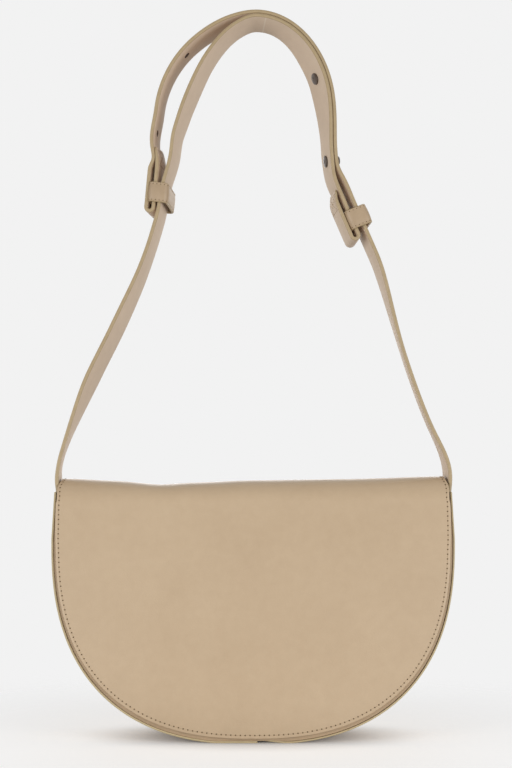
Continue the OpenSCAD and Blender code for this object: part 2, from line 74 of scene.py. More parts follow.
class Finish:
    """A material, or a world, whose nodes are added one at a time, with their settings first."""

    def __init__(self, name, kind="materials", shader="Principled BSDF", **constants):
        self.look = getattr(bpy.data, kind).new(name)
        self.look.use_nodes = True
        self.tree = self.look.node_tree
        self.shader = self.tree.nodes[shader]
        for socket, value in constants.items():
            self.shader.inputs[socket.replace("_", " ")].default_value = value

    def node(self, kind, settings=None, values=(), output=0):
        made = self.tree.nodes.new(kind)
        for key, value in (settings or {}).items():
            setattr(made, key, value)
        pairs = values.items() if isinstance(values, dict) else enumerate(values)
        for key, value in pairs:
            if isinstance(value, Value):
                self.tree.links.new(value.socket, made.inputs[key])
            else:
                made.inputs[key].default_value = value
        return Value(self, made.outputs[output])

    def feed(self, socket, value):
        self.tree.links.new(value.socket, self.shader.inputs[socket])

    def place(self, kind="Object"):
        return self.node("ShaderNodeTexCoord", output=kind)

    def axes(self, place, *numbers):
        return [self.node("ShaderNodeSeparateXYZ", {}, (place,), number) for number in numbers]

    def noise(self, size, detail=2.0):
        """Cloudy noise from 0 to 1 whose patches are about size metres wide."""
        return self.node("ShaderNodeTexNoise", {}, {
            "Vector": self.place(), "Scale": 1 / size, "Detail": detail})

    def mix(self, share, first, second):
        return self.node("ShaderNodeMix", {"data_type": "RGBA"},
                         {0: share, 6: first, 7: second}, 2)

    def fade(self, value, low, high, start, end):
        """Goes smoothly from start to end while the value goes from low to high."""
        return self.node("ShaderNodeMapRange", {"interpolation_type": "SMOOTHSTEP"}, {
            0: value, 1: low, 2: high, 3: start, 4: end})

    def bump(self, height, distance):
        self.feed("Normal", self.node("ShaderNodeBump", {}, {
            "Height": height, "Distance": distance}))


def tone(red, green, blue):
    """A colour as it looks, from 0 to 255, turned into the shader's linear numbers."""
    return tuple(((c / 255 + 0.055) / 1.055) ** 2.4 for c in (red, green, blue)) + (1.0,)


def dress(piece, *materials):
    """Gives a piece these materials in place of what it has."""
    if piece.data.materials:
        piece.data.materials.clear()
    for material in materials:
        piece.data.materials.append(material)


def fibre_board():
    finish = Finish("fibre_board", Roughness=0.85)
    flecks = finish.noise(0.0012, 5.0)
    finish.feed("Base Color", finish.mix(flecks, tone(112, 104, 94), tone(134, 124, 110)))
    finish.bump(flecks + 0.4 * finish.noise(0.0004), 0.0001)
    return finish.look


board_finish = fibre_board()
for node in ("front_board", "back_board", "gusset_board", "flap_board"):
    dress(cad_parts[node], board_finish)


# Panels: two half-moons of smooth coated leather, front and back, with their cut edges painted.
# They lean towards each other, so the bag is a wedge, deep at its base and narrow at its mouth.
MM = 0.001
SIDES = ((-1, "front"), (1, "back"))
# Half the width and the height of the waist, how far the half-moon drops below it, and the power
# that rounds its outline; the heights of mouth and ears, and how the sides draw in towards them
HALF, WAIST, MOON_LOW, MOON_POWER = 132.7, 132.4, 133.4, 2.45
MOUTH, EAR, SIDE_TUCK, TUCK_POWER = 157.6, 162.6, 1.6, 1.5
# Half the depth at the base, the panels' lean, and the thickness of panels and gusset
BASE_HALF, SLOPE, PANEL, GUSSET = 33.0, math.radians(6.51533), 1.6, 1.4
# Share of a half-moon's rows that lie below the waist, and how nearly its lowest row may close
BELOW_WAIST, CLOSED = 0.75, 0.9997


def leather(name, dark, light, roughness, coat=0.06, gloss=0.5, grain=0.00006, painted_highlight=None):
    """Smooth coated leather: faint clouds in its colour, fine pores, a satin coat, and a painted
    highlight in its colour where one is given."""
    finish = Finish(name, IOR=1.45, Specular_IOR_Level=gloss, Coat_Weight=coat,
                    Coat_Roughness=0.35)
    clouds = 0.6 * finish.noise(0.045, 3.0) + 0.4 * finish.noise(0.006)
    specks = finish.noise(0.0009)
    shade = clouds * 1.7 + specks * 0.35 - 0.525
    place, colour = finish.place(), finish.mix(shade, dark, light)
    if painted_highlight:
        colour = painted_highlight(finish, place, colour)
    finish.feed("Base Color", colour)
    finish.feed("Roughness", clouds * 0.16 + specks * 0.1 + (roughness - 0.13))
    pores = finish.node("ShaderNodeTexVoronoi", {}, {"Vector": place, "Scale": 1400.0})
    finish.bump(pores * 0.6 + specks * 0.5 + finish.noise(0.004, 3.0) * 0.8, grain)
    return finish.look


def edge_paint(name, dark, light):
    """Thick olive-tan paint that is brushed along cut edges and dries a little wavy."""
    finish = Finish(name, IOR=1.5)
    waves = finish.noise(0.004, 3.0)
    finish.feed("Base Color", finish.mix(waves, dark, light))
    finish.feed("Roughness", waves * 0.15 + 0.38)
    finish.bump(waves + 0.3 * finish.noise(0.0008), 0.00012)
    return finish.look


body_leather = leather("body_leather", tone(184, 158, 126), tone(203, 178, 146), 0.46)
paint = edge_paint("edge_paint", tone(167, 146, 111), tone(188, 166, 129))


def ramp(value, low, high):
    """Rises smoothly from 0 at low to 1 at high."""
    share = min(1.0, max(0.0, (value - low) / (high - low)))
    return share * share * (3 - 2 * share)


def face_y(side, z, inset=0.0):
    """Y of the plane inside a panel's outer face by inset: side is -1 in front, 1 at the back."""
    return side * (BASE_HALF - z * math.tan(SLOPE) - inset / math.cos(SLOPE))


def tuck(z):
    """How far the sides draw in at this height above the waist."""
    return SIDE_TUCK * (max(0.0, z - WAIST) / (EAR - WAIST)) ** TUCK_POWER


def moon_row(share, half, bottom, low, top):
    """Height and half width of one row of a half-moon, from its flat bottom up to its top."""
    lower = BELOW_WAIST if top > WAIST else 1.0
    start, end = (math.asin(min(CLOSED, max(0.0, (WAIST - z) / bottom) ** (MOON_POWER / 2)))
                  for z in (low, top))
    if share <= lower:
        turn = start + (end - start) * share / lower
        return (WAIST - bottom * math.sin(turn) ** (2 / MOON_POWER),
                half * math.cos(turn) ** (2 / MOON_POWER))
    z = WAIST + (top - WAIST) * (share - lower) / (1 - lower)
    return z, half - tuck(z)


def spread(share):
    """Places from -1 to 1 that lie closer together near both ends."""
    crowded = 0.6
    return crowded * math.sin(math.pi * (share - 0.5)) + (1 - crowded) * (2 * share - 1)


def deselect():
    bpy.ops.object.select_all(action="DESELECT")


def select_only(*pieces):
    deselect()
    for piece in pieces:
        piece.select_set(True)
    bpy.context.view_layer.objects.active = pieces[0]


def grid_piece(name, columns, rows, place, outward, cut=(1.0, 1.0)):
    """A grid whose points are set by place(u, v), in millimetres, turned to face outward. Its
    map is the cut of the real piece: its width and length, in millimetres."""
    deselect()
    bpy.ops.mesh.primitive_grid_add(x_subdivisions=columns, y_subdivisions=rows, size=1)
    piece = bpy.context.object
    piece.name = piece.data.name = name
    for vertex in piece.data.vertices:
        vertex.co = Vector(place(vertex.co.x + 0.5, vertex.co.y + 0.5)) * MM
    for corner in piece.data.uv_layers.active.data:
        corner.uv = (corner.uv.x * cut[0] * MM, corner.uv.y * cut[1] * MM)
    piece.data.update()
    middle = piece.data.polygons[len(piece.data.polygons) // 2 + columns // 2]
    if middle.normal.dot(Vector(outward)) < 0:
        piece.data.flip_normals()
    return piece


def apply_modifier(piece, kind, **settings):
    select_only(piece)
    modifier = piece.modifiers.new(kind.title(), kind)
    for key, value in settings.items():
        setattr(modifier, key, value)
    bpy.ops.object.modifier_apply(modifier=modifier.name)


def thicken(piece, thickness, face, edge, round_off=0.35):
    """Gives a sheet its thickness behind its face, in millimetres, and rounds its cut edges."""
    dress(piece, face, edge)
    apply_modifier(piece, "SOLIDIFY", thickness=thickness * MM, offset=-1,
                   use_even_offset=True, material_offset_rim=1)
    apply_modifier(piece, "BEVEL", width=round_off * MM, segments=2, limit_method="ANGLE",
                   angle_limit=math.radians(50))
    bpy.ops.object.shade_smooth_by_angle(angle=math.radians(45))


def settle(piece, slot, body, *nodes):
    """The piece stands for these nodes and rides on this body. The slot is not used."""
    if nodes:
        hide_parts(*nodes)
    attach(piece, body)


for side, name in SIDES:
    def place_panel(u, v):
        z, half = moon_row(v, HALF - GUSSET, MOON_LOW - GUSSET, GUSSET, MOUTH)
        return half * spread(u), face_y(side, z), z

    panel = grid_piece(name + "_panel_leather", 40, 48, place_panel, (0, side, 0))
    thicken(panel, PANEL, body_leather, paint)
    settle(panel, "body_leather", "root", name + "_panel")


# Gusset: one strip of the same leather in two halves, which go down the sides and under the bag,
# round both panels' edges. At the bottom the right half steps up and laps above the left one.
# Where the left half ends, how far the right one laps it, in what run it steps up, and how much
# thinner it is; the play round a panel's edge, and how far the gusset stands out past the panel
LAP_X, LAP_LEN, RISE_LEN, LAP_PARED = 2.0, 20.0, 20.0, 0.2
EDGE_GAP, EDGE_PROUD, OUTLINE_STEPS = 0.15, 0.8, 720


class Line:
    """A run of points, with places measured along it in millimetres."""

    def __init__(self, points):
        self.points = [Vector(p) for p in points]
        self.reach = [0.0]
        for near, far in zip(self.points, self.points[1:]):
            self.reach.append(self.reach[-1] + (far - near).length)
        self.length = self.reach[-1]

    def at(self, distance):
        """The point and the direction there."""
        i = min(max(bisect.bisect_right(self.reach, distance) - 1, 0), len(self.points) - 2)
        step = self.points[i + 1] - self.points[i]
        share = (distance - self.reach[i]) / step.length
        return self.points[i] + step * share, step.normalized()

    def spaced(self, count):
        """Points at equal distances along the whole run."""
        return [self.at(self.length * i / count)[0] for i in range(count + 1)]


def moon_line(half, bottom, low, top, side=-1):
    """Points down one ear, round the bottom and up the other: X and Z of the outline."""
    turns = [math.pi * i / OUTLINE_STEPS for i in range(OUTLINE_STEPS + 1)]
    curve = [(side * half * math.copysign(abs(math.cos(t)) ** (2 / MOON_POWER), math.cos(t)),
              max(low, WAIST - bottom * math.sin(t) ** (2 / MOON_POWER))) for t in turns]
    start, end = (side * (half - tuck(top)), top), (-side * (half - tuck(top)), top)
    return Line([start] + curve + [end])


def gusset_half(node, side, end_x, lap):
    line = moon_line(HALF, MOON_LOW, 0.0, EAR, side)
    end = next(d for p, d in zip(line.points, line.reach) if side * p.x < side * end_x)

    def place_gusset(u, v):
        (x, z), _ = line.at(end * v)
        raised = ramp(LAP_X + RISE_LEN - x, 0, RISE_LEN) if lap else 0.0
        across = face_y(1, z, raised * (PANEL + EDGE_GAP) - EDGE_PROUD)
        return x, across * (2 * u - 1), z + raised * (GUSSET + EDGE_GAP / 3)

    piece = grid_piece(node + "_leather", 12, 150, place_gusset, (side, 0, 0))
    thicken(piece, GUSSET - LAP_PARED * lap, gusset_leather, lightened_gusset_paint)
    settle(piece, "gusset_leather", "root", node)


gusset_leather = leather("gusset_leather", tone(182, 156, 123), tone(200, 175, 142), 0.46)
# A lighter copy of the edge paint for the gusset's rims: painted light that stands in for light
# which the flap beside them keeps off.
lightened_gusset_paint = edge_paint("lightened_gusset_paint", tone(188, 171, 132), tone(206, 187, 148))
gusset_half("gusset_left", -1, LAP_X, False)
gusset_half("gusset_right", 1, LAP_X - LAP_LEN, True)


# Lining: woven cotton, glued inside the two panels and round the gusset, where it covers the
# sewn strap ends. Leather facings 26 mm high finish it at the mouth.
# Thickness, depth behind the panel's face, distance inside the outline, cut width round the
# gusset; the facing's height and thickness; a sewn strap end, and how the lining rises over it
LINING, LINING_IN, INNER, LINING_CUT, AREA_ROWS = 0.8, 2.8, 4.5, 50.0, 200
FACING_H, FACING = 26.0, 1.2
ROOT_LEN, STRAP_T, ROOT_BUMP, BUMP_LOW, BUMP_TOP = 38.0, 2.5, 0.7, 14.0, 2.0


def cloth(name, dark, light, thread=0.0008):
    """Plain weave: warp and weft threads that pass over each other in turn."""
    finish = Finish(name, Roughness=0.92, Sheen_Weight=0.15)
    warp, weft = ((axis * (math.pi / thread)).math("SINE")
                  for axis in finish.axes(finish.place("UV"), 0, 1))
    over = (warp * weft).math("GREATER_THAN", 0.0)
    height = over * warp.math("ABSOLUTE") + (1 - over) * weft.math("ABSOLUTE")
    slubs = finish.noise(0.002, 3.0)
    finish.feed("Base Color", finish.mix(height * 0.6 + slubs * 0.4, dark, light))
    finish.bump(height + slubs * 0.4, 0.0002)
    return finish.look


lining_cloth = cloth("lining_cloth", tone(142, 124, 100), tone(176, 158, 132))
lining_half, lining_bottom, lining_top = HALF - INNER, MOON_LOW - INNER, MOUTH - FACING_H
lining_rows = [moon_row(i / AREA_ROWS, lining_half, lining_bottom, INNER, lining_top)
               for i in range(AREA_ROWS + 1)]
lining_area = sum((z_next - z) * (half + half_next)
                  for (z, half), (z_next, half_next) in zip(lining_rows, lining_rows[1:]))

for side, name in SIDES:
    def place_lining(u, v):
        z, half = moon_row(v, lining_half, lining_bottom, INNER, lining_top)
        return half * spread(u), face_y(side, z, LINING_IN + LINING), z

    def place_facing(u, v):
        z = MOUTH - FACING_H * (1 - v)
        half = HALF - INNER - LINING - tuck(z)
        return half * spread(u), face_y(side, z, LINING_IN + FACING), z

    lining = grid_piece(name + "_lining_cloth", 40, 40, place_lining, (0, -side, 0),
                        (2 * lining_half, lining_top))
    thicken(lining, LINING, lining_cloth, lining_cloth, 0.2)
    settle(lining, "lining", "root", name + "_lining")
    name + "_board"
    lining_area * MM * MM
    facing = grid_piece(name + "_facing_leather", 40, 8, place_facing, (0, -side, 0))
    thicken(facing, FACING, body_leather, paint)
    settle(facing, "body_leather", "root", name + "_facing")

gusset_line = moon_line(HALF - GUSSET - STRAP_T, MOON_LOW - GUSSET - STRAP_T, GUSSET + STRAP_T,
                        EAR - 0.5)


def place_gusset_lining(u, v):
    (x, z), way = gusset_line.at(gusset_line.length * v)
    over_root = ROOT_BUMP * ramp(z, EAR - ROOT_LEN - BUMP_LOW, EAR - ROOT_LEN - BUMP_TOP)
    middle = Vector((x, 0, z)) + over_root * Vector((-way.y, 0, way.x))
    middle.y = face_y(1, z, PANEL + EDGE_GAP) * (2 * u - 1)
    return middle


gusset_lining = grid_piece("gusset_lining_cloth", 12, 180, place_gusset_lining, (0, 0, 1),
                           (2 * BASE_HALF, gusset_line.length))
thicken(gusset_lining, LINING * 0.8, lining_cloth, lining_cloth, 0.2)
settle(gusset_lining, "lining", "root", "gusset_lining")


# Slip pocket: a cotton rectangle sewn to the back lining on three sides. Its mouth stands a
# little open and is bound with a leather strip.
POCKET_W, POCKET_LOW, POCKET_TOP, POCKET_SLACK = 120.0, 52.0, 120.0, 1.6
BINDING_H, BINDING_OVER = 8.0, 0.4


def pocket_point(u, z, inset):
    """The pocket bulges a little from its sewn sides towards the middle of its mouth."""
    slack = POCKET_SLACK * (1 - (2 * u - 1) ** 2) * ramp(z, POCKET_LOW, POCKET_TOP)
    return POCKET_W * (u - 0.5), face_y(1, z, LINING_IN + LINING + inset + slack), z


def place_pocket(u, v):
    return pocket_point(u, POCKET_LOW + (POCKET_TOP - POCKET_LOW) * v, LINING)


def place_binding(u, v):
    return pocket_point(u, POCKET_TOP + BINDING_OVER - BINDING_H * (1 - v), 2 * LINING)


pocket = grid_piece("slip_pocket_cloth", 30, 20, place_pocket, (0, -1, 0),
                    (POCKET_W, POCKET_TOP - POCKET_LOW))
thicken(pocket, LINING, lining_cloth, lining_cloth, 0.2)
settle(pocket, "lining", "root", "slip_pocket")
binding = grid_piece("pocket_binding_leather", 30, 6, place_binding, (0, -1, 0))
thicken(binding, LINING, body_leather, paint, 0.25)
settle(binding, "body_leather", "root", "pocket_binding")


# Mouth edges: thick paint over the panel, board and facing where they end at the mouth.
MOUTH_PAINT, MOUTH_W, MOUTH_OVER, MOUTH_DOME, MOUTH_IN = 0.5, 4.1, 0.05, 0.25, 0.2
for side, name in SIDES:
    def place_mouth(u, v):
        x, z = (HALF - INNER - MOUTH_IN) * (2 * v - 1), MOUTH + MOUTH_DOME * math.sin(math.pi * u)
        return x, face_y(side, MOUTH, MOUTH_W * u - MOUTH_OVER), z

    mouth = grid_piece(name + "_mouth_paint", 6, 40, place_mouth, (0, 0, 1))
    thicken(mouth, MOUTH_PAINT, paint, paint, 0.1)
    settle(mouth, "body_leather", "root")


# Magnet snap: nickel discs, one set in the front panel and one under the flap, whose nub enters
# the other's hole. Both are turned shapes. Plain washers hold them behind the boards.
SNAP_Z = 45.0


def metal(name, dark, light, roughness):
    finish = Finish(name, Metallic=1.0)
    marks = finish.noise(0.0015, 4.0)
    finish.feed("Base Color", finish.mix(marks, dark, light))
    finish.feed("Roughness", marks * 0.2 + (roughness - 0.1))
    finish.bump(finish.noise(0.0003, 3.0), 0.00001)
    return finish.look


def new_piece(name, points, edges, faces):
    """A piece of points in millimetres, joined by edges or faces."""
    mesh = bpy.data.meshes.new(name)
    mesh.from_pydata([Vector(p) * MM for p in points], edges, faces)
    piece = bpy.data.objects.new(name, mesh)
    bpy.context.scene.collection.objects.link(piece)
    return piece


def turned(name, outline, stand, material):
    """Turns an outline of radii and heights, in millimetres, about Z, and stands it in place."""
    piece = new_piece(name, [(r, 0, z) for r, z in outline],
                      [(i, i + 1) for i in range(len(outline) - 1)], [])
    apply_modifier(piece, "SCREW", steps=48, render_steps=48, use_merge_vertices=True,
                   merge_threshold=1e-6, use_smooth_shade=True)
    outside(piece)
    piece.data.transform(stand)
    dress(piece, material)
    bpy.ops.object.shade_smooth_by_angle(angle=math.radians(35))
    return piece


def outside(piece):
    """Turns all faces of a closed piece outwards."""
    select_only(piece)
    bpy.ops.object.mode_set(mode="EDIT")
    bpy.ops.mesh.select_all(action="SELECT")
    bpy.ops.mesh.normals_make_consistent(inside=False)
    bpy.ops.object.mode_set(mode="OBJECT")


nickel = metal("satin_nickel", tone(168, 163, 155), tone(190, 185, 176), 0.3)
on_front = (Matrix.Translation(Vector((0, face_y(-1, SNAP_Z), SNAP_Z)) * MM)
            @ Matrix.Rotation(math.radians(90) - SLOPE, 4, "X"))
socket = turned("snap_socket_turned", [
    (0, -1.9), (3.5, -1.9), (3.5, -0.2), (3.75, 0.05), (4.6, 0.1), (4.9, -0.15), (8.0, -0.15),
    (8.3, 0.1), (8.75, 0.05), (9, -0.2), (9, -2.2), (0, -2.2)], on_front, nickel)
settle(socket, "snap_metal", "root", "snap_socket")
plug = turned("snap_plug_turned", [
    (0, -1.5), (2.2, -1.5), (2.6, -1.1), (2.6, 0.4), (3.1, 0.55), (8.2, 0.55), (8.8, 0.65),
    (9, 0.9), (9, 1.5), (0, 1.5)], on_front, nickel)
settle(plug, "snap_metal", "flap", "snap_plug")
for node in ("snap_socket_washer", "snap_plug_washer"):
    dress(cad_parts[node], nickel)


# Strap: two bands 25 mm wide, each sewn into one end of the gusset. The left band arches over and
# folds up through the right keeper; the right band lies outside it, has five holes, and folds
# up through the left keeper. The route is the line on which the two bands touch.
# A band's width, the arch's height above the ears, how wide the bands part on its left, from
# where above the left keeper, and over what length
STRAP_W, STRAP_RISE, ARCH_GAP, PART_START, PARTED = 25.0, 320.3, 17.0, 2.0, 152.0
STRAP_HALF = HALF - SIDE_TUCK - GUSSET
# The arch's lean to the back, its shift to the right, the heights over which they begin, and the
# unit of a band's turns
LEAN, LEAN_START, SWAY, SWAY_END, CONE = math.radians(6), 12.0, 0.75, 60.0, math.radians(23)
# Play between the bands, under a sewn tail and inside a keeper
LAYER_GAP, SEAM_GAP, CLEAR = 0.3, 0.15, 0.35
KEEPER_H, KEEPER_T, TRAVEL, LEFT_SLACK, RIGHT_SLACK = 13.5, 1.6, 8.0, 3.6, 3.2
FOLD_DROP, LEFT_TAIL, RIGHT_TAIL = KEEPER_H / 2 + 3.8, 23.0, 32.0
STUD_UP, STUD_CLEAR, HOLE_PITCH, HOLE_R, PUNCH_LEN = 44.5, 6.0, 58.0, 2.3, 34.0
WRAP = KEEPER_T + 2 * CLEAR
WRAP_HOLD, WRAP_FADE = KEEPER_H / 2 + TRAVEL + 2 * CLEAR, 9.0
RUN_STEP = KEEPER_H / 2 + TRAVEL / 2 + 2 * CLEAR
# Gentle bulges of a band near a keeper: height, and from and to above that keeper
OUTER_BULGE, LEFT_BULGE, RIGHT_BULGE = (0.3, 20, 46), (1.5, -26, 34), (1.6, 15, 44)
# Shares of thickness and width that a tail keeps at its end, and the lengths that are pared and
# rounded
PARED_T, END_W, PARED_LEN, END_LEN = 0.5, 0.8, 12.0, 4.0
# Steps of the route's spans, the reach over which its direction is evened out, what the bands
# leave out at its ends, and their own twist, in degrees, where they have parted
SPAN_STEPS, REACH, ROUTE_TRIM, LEFT_TWIST, RIGHT_TWIST = 8, 2.0, 2.0, 3.5, -2.7


def scaled(shares, half):
    return [Vector((x * half, z * STRAP_RISE)) for x, z in shares]


def straight_run(x, z, degrees, up):
    way = Vector((math.sin(math.radians(degrees)), math.cos(math.radians(degrees))))
    return [Vector((x * STRAP_HALF, z * STRAP_RISE)) + way * (k * RUN_STEP + up * TRAVEL / 2)
            for k in range(-2, 3)]


left_leg = scaled([
    (-1, -0.015), (-1.001, 0), (-1.009, 0.018), (-1.011, 0.038), (-1.003, 0.064), (-0.981, 0.095),
    (-0.942, 0.142), (-0.85, 0.235), (-0.747, 0.315), (-0.657, 0.395), (-0.583, 0.462)],
    STRAP_HALF)
arch = scaled([
    (-0.4935, 0.745), (-0.49, 0.784), (-0.479, 0.822), (-0.452, 0.859), (-0.408, 0.895),
    (-0.345, 0.929), (-0.264, 0.958), (-0.174, 0.981), (-0.082, 0.995), (0.01, 1.001),
    (0.095, 0.995), (0.176, 0.977), (0.243, 0.949), (0.292, 0.918), (0.335, 0.882),
    (0.36, 0.843), (0.376, 0.803), (0.386, 0.758), (0.389, 0.712), (0.4, 0.672)], STRAP_HALF)
right_leg = scaled([
    (0.642, 0.474), (0.672, 0.434), (0.7, 0.393), (0.755, 0.31), (0.821, 0.228), (0.893, 0.15),
    (0.948, 0.106), (0.986, 0.074), (1.007, 0.046), (1.009, 0.02), (1.001, 0), (1, -0.015)],
    STRAP_HALF - STRAP_T - LAYER_GAP)
knots = (left_leg + straight_run(-0.4895, 0.623, 5, 1) + arch
         + straight_run(0.527, 0.569, 157, -1) + right_leg)
ends = [2 * knots[0] - knots[1]] + knots + [2 * knots[-1] - knots[-2]]


def spline_point(i, t):
    return (ends[i] * (1 - t) ** 3 + ends[i + 1] * (3 * t ** 3 - 6 * t * t + 4)
            + ends[i + 2] * (-3 * t ** 3 + 3 * t * t + 3 * t + 1) + ends[i + 3] * t ** 3) / 6


spans = len(ends) - 3
route = Line([spline_point(i, k / SPAN_STEPS) for i in range(spans) for k in range(SPAN_STEPS)]
             + [spline_point(spans - 1, 1)])
LEFT_AT = route.reach[(len(left_leg) + 2) * SPAN_STEPS] - TRAVEL / 2
RIGHT_AT = route.reach[(len(left_leg) + len(arch) + 7) * SPAN_STEPS] + TRAVEL / 2


# Where the band turns about its own run: from and to, in shares of the route, and the change
turning = [(0, 0.008, 0.1), (0.01, 0.03, -0.16), (0.038, 0.12, 0.69), (0.165, 0.25, -0.25),
           (0.29, 0.37, 0.1), (0.515, 0.58, 0.52), (0.6, 0.66, -0.46), (0.66, 0.72, -0.25),
           (0.768, 0.865, -0.35), (0.935, 0.99, 0.3)]


def leaned(x, y, z, height):
    """Turns a direction of the arch's plane by the lean that it has at this height."""
    lean = LEAN * (1 + height / math.hypot(height, LEAN_START)) / 2
    return Vector((x, y * math.cos(lean) + z * math.sin(lean),
                   z * math.cos(lean) - y * math.sin(lean)))


def spot(s):
    """A point of the route in the bag's frame, the way into the arch, the way to the back, and
    the way along the strap."""
    (x, h), ahead = route.at(s)
    _, before = route.at(max(0.0, s - REACH))
    _, after = route.at(min(route.length, s + REACH))
    way = (before + ahead + after).normalized()
    cone = CONE * sum(change * ramp(s / route.length, near, far) for near, far, change in turning)
    middle = Vector((x + SWAY * ramp(h, 0, SWAY_END),
                     math.sin(LEAN) * (h + math.hypot(h, LEAN_START)) / 2,
                     EAR + h * math.cos(LEAN)))
    inward = leaned(way.y * math.cos(cone), -math.sin(cone), -way.x * math.cos(cone), h)
    back = leaned(way.y * math.sin(cone), math.cos(cone), -way.x * math.sin(cone), h)
    return middle, inward, back, leaned(way.x, 0, way.y, h)


def hump(value, low, high, power=2.0):
    """Rises from 0 at low to 1 halfway and falls back to 0 at high."""
    share = min(1.0, max(0.0, (value - low) / (high - low)))
    return math.sin(math.pi * share) ** power if 0 < share < 1 else 0.0


def opened(s):
    """How far the two bands have parted on the left of the arch, from 0 to 1."""
    return hump(s - LEFT_AT, PART_START, PART_START + PARTED, 1.3)


def bulge(up, height, low, high):
    return height * hump(up, low, high)


def wrapped(up):
    """Room that a band leaves for the keeper beside it, at this distance above its middle."""
    return WRAP * (1 - ramp(up, WRAP_HOLD, WRAP_HOLD + WRAP_FADE)) + bulge(up, *OUTER_BULGE)


def left_q(s):
    """How far inside the route the left band's middle lies. The other bands have their own."""
    up = RIGHT_AT - s
    return (STRAP_T / 2 + ARCH_GAP * opened(s) + bulge(s - LEFT_AT, *LEFT_BULGE)
            + RIGHT_SLACK * (1 - ramp(up, WRAP_HOLD, STUD_UP - STUD_CLEAR))
            + bulge(up, *RIGHT_BULGE))


def right_q(s):
    up = s - LEFT_AT
    return (-LAYER_GAP - STRAP_T / 2 - wrapped(up)
            - (STRAP_T + SEAM_GAP) * (1 - ramp(up, RIGHT_TAIL + SEAM_GAP, RIGHT_TAIL + STRAP_W)))


def left_tail_q(s):
    return left_q(s) + STRAP_T + SEAM_GAP + wrapped(RIGHT_AT - s)


def right_tail_q(s):
    return -LAYER_GAP - STRAP_T / 2


def section(s, q, twist=0.0):
    """A band's section there. Where the bands have parted it is turned by a twist of its own."""
    middle, inward, back, _ = spot(s)
    turn = math.radians(twist) * opened(s)
    return (middle + inward * q, inward * math.cos(turn) - back * math.sin(turn),
            back * math.cos(turn) + inward * math.sin(turn))


def pared(distance):
    """Share of the thickness that a tail keeps at this distance from its end."""
    return PARED_T + (1 - PARED_T) * ramp(distance, 0, PARED_LEN)


def tail_section(s, q, end):
    """A section of a tail, which is pared thin and rounded towards its end."""
    middle, inward, back, _ = spot(s)
    thin = pared(abs(s - end))
    narrow = END_W + (1 - END_W) * math.sqrt(1 - (1 - min(1.0, abs(s - end) / END_LEN)) ** 2)
    return middle + inward * (q - (1 - thin) * STRAP_T / 2), inward * -thin, back * narrow


def fold(s, q, to_q, way, steps=12):
    """The half circle in which a band turns back below a keeper."""
    middle, inward, back, run = spot(s)
    radius = (to_q - q) / 2
    turns = [math.pi * i / steps for i in range(1, steps)]
    facing = [inward * math.cos(t) - run * way * math.sin(t) for t in turns]
    return [(middle + inward * (q + radius) - f * radius, f, back) for f in facing]


def sewn_end(side):
    """The end of a band inside the gusset, from its lowest point up to the ear."""
    heights = [EAR - ROOT_LEN + 3 * i for i in range(11)]
    return [(Vector((side * (HALF - GUSSET - STRAP_T / 2 - tuck(z)), 0, z)),
             Vector((-side, 0, 0)), Vector((0, 1, 0))) for z in heights]


def loft(name, sections, profile, slots, close=False):
    """Skins a row of sections, each a middle and the directions of the profile's two numbers."""
    size, count = len(profile), len(sections)
    points = [m + n * x + w * y for m, n, w in sections for x, y in profile]
    faces, kinds = [], []
    for i in range(count if close else count - 1):
        for k in range(size):
            near, far = i * size, (i + 1) % count * size
            faces.append((near + k, near + (k + 1) % size, far + (k + 1) % size, far + k))
            kinds.append(slots[k])
    if not close:
        faces += [tuple(range(size)), tuple(range((count - 1) * size, count * size))]
        kinds += [1, 1]
    piece = new_piece(name, points, [], faces)
    piece.data.polygons.foreach_set("material_index", kinds)
    outside(piece)
    bpy.ops.object.shade_smooth_by_angle(angle=math.radians(40))
    return piece


def band_profile(thick, wide, dome=0.12):
    """A band's section: flat faces (slot 0) and domed, painted edges (slot 1)."""
    t, w = thick / 2, wide / 2
    edge = [(t, w - 0.9), (t * 0.86, w - 0.25), (t * 0.45, w), (0, w + dome),
            (-t * 0.45, w), (-t * 0.86, w - 0.25), (-t, w - 0.9)]
    points = [(t, 0)] + edge + [(-t, 0)] + [(-x, -y) for x, y in edge]
    return points, [0] + [1] * 6 + [0, 0] + [1] * 6 + [0]


def punch(piece, places):
    """Punches round holes through a band at these places of the route."""
    for s in places:
        middle, inward, back, run = spot(s)
        deselect()
        bpy.ops.mesh.primitive_cylinder_add(vertices=24, radius=HOLE_R * MM, depth=PUNCH_LEN * MM)
        cutter = bpy.context.object
        cutter.data.transform(Matrix.Translation(middle * MM)
                              @ Matrix((run, back, -inward)).transposed().to_4x4())
        # The holes' walls take the dark leather: painted shade inside the holes.
        dress(cutter, hole_shade_leather)
        apply_modifier(piece, "BOOLEAN", object=cutter, operation="DIFFERENCE", solver="EXACT",
                       material_mode="TRANSFER")
        bpy.data.objects.remove(cutter)


# A painted highlight along a crease that runs obliquely over the arch's top, in metres: its place,
# slant, core and rim, how pale the painted highlight is, and above what height it shows
CREASE_AT, CREASE_SLANT, CREASE_CORE, CREASE_RIM = -0.1502, 0.33, 0.0001, 0.0006
CREASE_HIGHLIGHT_SHARE, CREASE_LOW = 0.45, 0.45


def crease_highlight(finish, place, colour):
    # A pale line along the crease, which has no shape of its own: painted highlight.
    x, z = finish.axes(place, 0, 2)
    off = (x - z * CREASE_SLANT - CREASE_AT).math("ABSOLUTE")
    line = finish.fade(off, CREASE_CORE, CREASE_RIM, CREASE_HIGHLIGHT_SHARE, 0.0)
    return finish.mix(line * z.math("GREATER_THAN", CREASE_LOW), colour, tone(236, 226, 212))


# Paler and greyer than the body leather: partly the strap's own tone, partly painted sheen for the
# bands' faces, which are seen nearly edge-on.
strap_leather = leather("strap_leather", tone(209, 188, 166), tone(222, 202, 180), 0.6,
                        coat=0.0, gloss=0.12, grain=0.00003, painted_highlight=crease_highlight)
